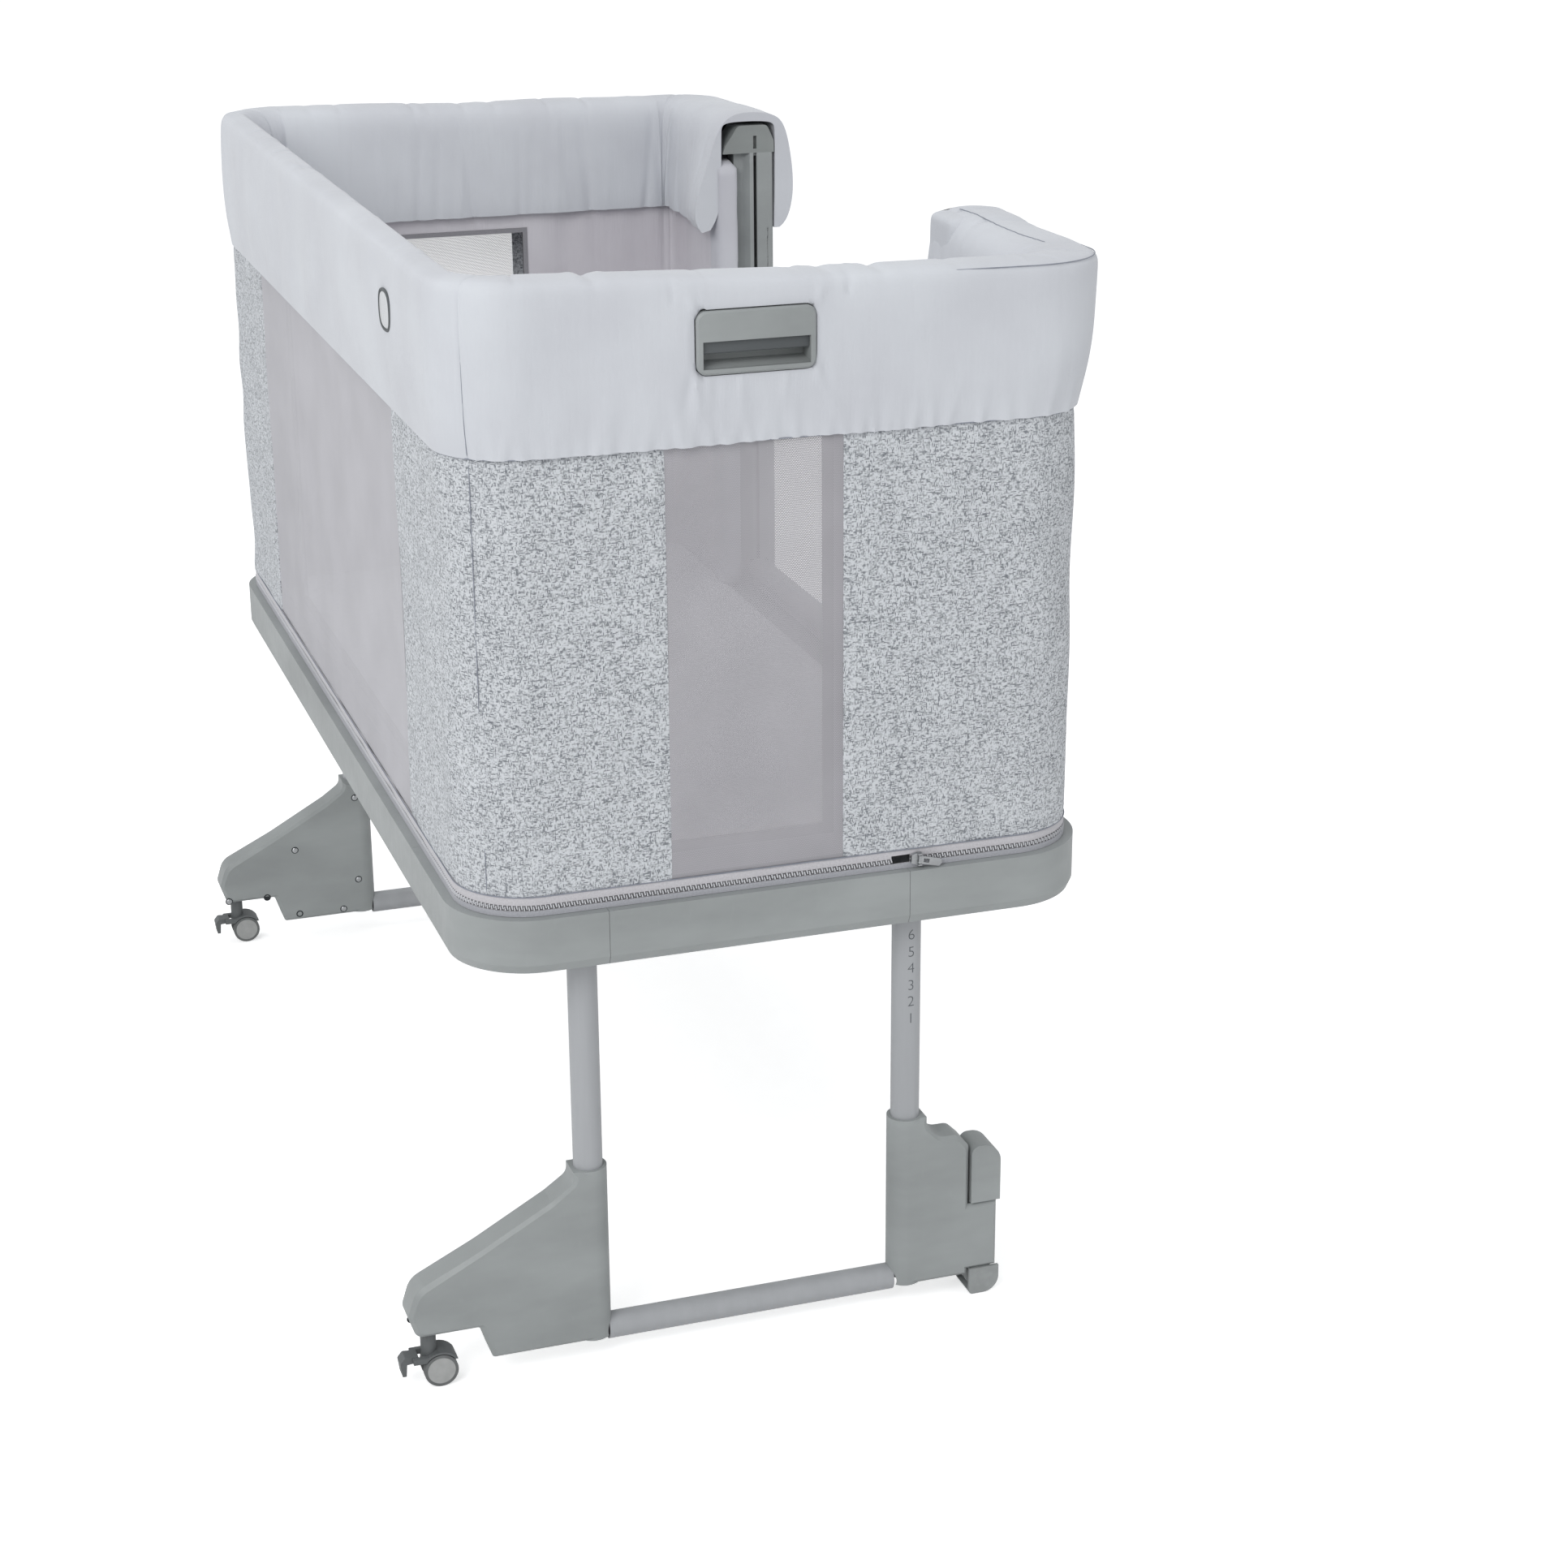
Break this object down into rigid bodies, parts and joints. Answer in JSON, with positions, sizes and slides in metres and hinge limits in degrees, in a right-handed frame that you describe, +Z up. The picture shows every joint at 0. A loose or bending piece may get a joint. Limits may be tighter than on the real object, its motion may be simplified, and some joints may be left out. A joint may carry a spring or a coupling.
{
  "type": "bedside sleeper crib",
  "caption": "Bedside sleeper crib: a soft-walled baby bed with mesh windows and a drop side, on two height-adjustable leg frames with casters and fold-out arms",
  "frame": {"origin": "on the floor, in the middle of the overall width and length", "axes": "X across the crib towards the parent's bed, Y along the crib, Z up"},
  "size_m": [0.7389, 1.32, 1.118],
  "materials": {
    "moulding": "fine matt texture, warm grey",
    "tube": "satin grey powder coat",
    "steel": "plain",
    "dark_plastic": "matt dark grey",
    "caster_plastic": "satin dark grey",
    "wheel": "grey soft tread round a light grey hub",
    "rubber": "matt grey",
    "melange": "light grey melange weave",
    "band": "plain light grey weave over padding",
    "net": "fine open mesh",
    "lining": "plain light grey weave",
    "mattress": "light grey melange weave",
    "board": "plain",
    "tape": "woven tape with coil teeth",
    "zip_metal": "satin"
  },
  "bodies": {
    "basket": {"tray_corner_near_left": "moulding", "tray_corner_near_bed": "moulding", "tray_corner_far_left": "moulding", "tray_corner_far_bed": "moulding", "tray_end_near": "moulding", "tray_end_far": "moulding", "tray_rail_left": "moulding", "tray_rail_bed": "moulding", "mattress_board": "board", "mattress": "mattress", "guide_frame_near": "tube", "guide_frame_far": "tube", "rim_hoop": "board", "post_near": "moulding", "post_far": "moulding", "post_cap_near": "moulding", "post_cap_far": "moulding", "handle_housing_near": "moulding", "handle_housing_far": "moulding", "fabric_near_left": "melange", "fabric_near_bed": "melange", "fabric_far_left": "melange", "fabric_far_bed": "melange", "net_near": "net", "net_far": "net", "net_left": "net", "band_near": "band", "band_far": "band", "band_left": "band", "inner_lining": "lining", "zip_tape": "tape"},
    "near_legs": {"leg_tubes_near": "tube", "crossbar_near": "tube", "caster_foot_near": "moulding", "arm_foot_near": "moulding", "foot_covers_near": "moulding", "arm_hinge_pin_near": "steel", "rubber_pad_near": "rubber"},
    "near_arm": {"folding_arm_near": "moulding"},
    "near_caster": {"caster_fork_near": "caster_plastic"},
    "near_wheels": {"caster_wheels_near": "wheel"},
    "near_pedal": {"brake_pedal_near": "caster_plastic"},
    "near_trigger": {"handle_trigger_near": "dark_plastic"},
    "far_legs": {"leg_tubes_far": "tube", "crossbar_far": "tube", "caster_foot_far": "moulding", "arm_foot_far": "moulding", "foot_covers_far": "moulding", "arm_hinge_pin_far": "steel", "rubber_pad_far": "rubber"},
    "far_arm": {"folding_arm_far": "moulding"},
    "far_caster": {"caster_fork_far": "caster_plastic"},
    "far_wheels": {"caster_wheels_far": "wheel"},
    "far_pedal": {"brake_pedal_far": "caster_plastic"},
    "far_trigger": {"handle_trigger_far": "dark_plastic"},
    "drop_side": {"drop_rail": "tube", "drop_carriages": "dark_plastic", "drop_fabric": "melange"},
    "zip_slider": {"zip_slider": "zip_metal"},
    "zip_pull": {"zip_pull": "zip_metal"}
  },
  "joints": [
    {"name": "near_height", "type": "slide", "parent": "basket", "child": "near_legs", "axis": [0, 0, 1], "range_m": [0, 0.092]},
    {"name": "near_arm_fold", "type": "hinge", "parent": "near_legs", "child": "near_arm", "pos_m": [0.2574, -0.609, 0.02], "axis": [0, 1, 0], "range_deg": [0, 90]},
    {"name": "near_swivel", "type": "hinge", "parent": "near_legs", "child": "near_caster", "pos_m": [-0.3386, -0.609, 0.06], "axis": [0, 0, 1], "continuous": true},
    {"name": "near_roll", "type": "hinge", "parent": "near_caster", "child": "near_wheels", "pos_m": [-0.3286, -0.609, 0.0175], "axis": [0, 1, 0], "continuous": true},
    {"name": "near_brake", "type": "hinge", "parent": "near_caster", "child": "near_pedal", "pos_m": [-0.3536, -0.609, 0.0315], "axis": [0, -1, 0], "range_deg": [0, 18]},
    {"name": "near_squeeze", "type": "slide", "parent": "basket", "child": "near_trigger", "axis": [0, 0, 1], "range_m": [0, 0.008], "stiffness_N_per_m": 600, "springref_m": -0.002},
    {"name": "far_height", "type": "slide", "parent": "basket", "child": "far_legs", "axis": [0, 0, 1], "range_m": [0, 0.092]},
    {"name": "far_arm_fold", "type": "hinge", "parent": "far_legs", "child": "far_arm", "pos_m": [0.2574, 0.609, 0.02], "axis": [0, 1, 0], "range_deg": [0, 90]},
    {"name": "far_swivel", "type": "hinge", "parent": "far_legs", "child": "far_caster", "pos_m": [-0.3386, 0.609, 0.06], "axis": [0, 0, 1], "continuous": true},
    {"name": "far_roll", "type": "hinge", "parent": "far_caster", "child": "far_wheels", "pos_m": [-0.3286, 0.609, 0.0175], "axis": [0, 1, 0], "continuous": true},
    {"name": "far_brake", "type": "hinge", "parent": "far_caster", "child": "far_pedal", "pos_m": [-0.3536, 0.609, 0.0315], "axis": [0, -1, 0], "range_deg": [0, 18]},
    {"name": "far_squeeze", "type": "slide", "parent": "basket", "child": "far_trigger", "axis": [0, 0, 1], "range_m": [0, 0.008], "stiffness_N_per_m": 600, "springref_m": -0.002},
    {"name": "drop_side_lift", "type": "slide", "parent": "basket", "child": "drop_side", "axis": [0, 0, 1], "range_m": [0, 0.5], "deforming": ["drop_fabric"]},
    {"name": "zip_run", "type": "slide", "parent": "basket", "child": "zip_slider", "axis": [1, 0, 0], "range_m": [0, 0.1]},
    {"name": "zip_pull_swing", "type": "hinge", "parent": "zip_slider", "child": "zip_pull", "pos_m": [0.1709, -0.6565, 0.52], "axis": [0, 0, -1], "range_deg": [0, 180]}
  ]
}
